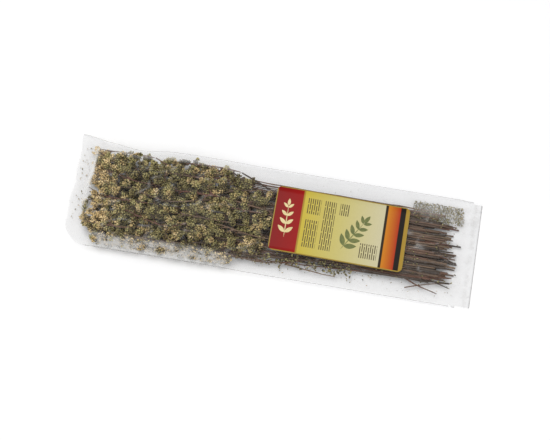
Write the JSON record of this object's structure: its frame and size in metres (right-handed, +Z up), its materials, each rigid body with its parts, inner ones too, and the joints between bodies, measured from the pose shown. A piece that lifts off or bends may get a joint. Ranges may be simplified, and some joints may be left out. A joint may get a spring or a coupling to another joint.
{
  "type": "oregano bundle",
  "caption": "Bundle of dried oregano: woody stems with branched flower heads, lying in a clear film sleeve with a paper label on top.",
  "frame": {"origin": "on the ground under the middle of the sleeve", "axes": "+X along the stems from the flower heads to the cut ends, +Y across the sleeve, +Z up"},
  "size_m": [0.41, 0.11, 0.0313],
  "materials": {
    "film": "clear glossy packing film",
    "label": "coated printed paper",
    "stem": "dry woody stem, matte",
    "flower": "dry bracts, matte"
  },
  "bodies": {
    "root": {"film_sleeve": "film", "paper_label": "label", "stem_01": "stem", "flower_head_01": "flower", "stem_02": "stem", "flower_head_02": "flower", "stem_03": "stem", "flower_head_03": "flower", "stem_04": "stem", "flower_head_04": "flower", "stem_05": "stem", "flower_head_05": "flower", "stem_06": "stem", "flower_head_06": "flower", "stem_07": "stem", "flower_head_07": "flower", "stem_08": "stem", "flower_head_08": "flower", "stem_09": "stem", "flower_head_09": "flower", "stem_10": "stem", "flower_head_10": "flower", "stem_11": "stem", "flower_head_11": "flower", "stem_12": "stem", "flower_head_12": "flower", "stem_13": "stem", "flower_head_13": "flower", "stem_14": "stem", "flower_head_14": "flower", "stem_15": "stem", "flower_head_15": "flower", "stem_16": "stem", "flower_head_16": "flower", "stem_17": "stem", "flower_head_17": "flower", "stem_18": "stem", "flower_head_18": "flower", "stem_19": "stem", "flower_head_19": "flower", "stem_20": "stem", "flower_head_20": "flower", "stem_21": "stem", "flower_head_21": "flower", "stem_22": "stem", "flower_head_22": "flower", "stem_23": "stem", "flower_head_23": "flower", "stem_24": "stem", "flower_head_24": "flower", "stem_25": "stem", "flower_head_25": "flower", "stem_26": "stem", "flower_head_26": "flower", "stem_27": "stem", "flower_head_27": "flower", "stem_28": "stem", "flower_head_28": "flower"}
  },
  "joints": []
}
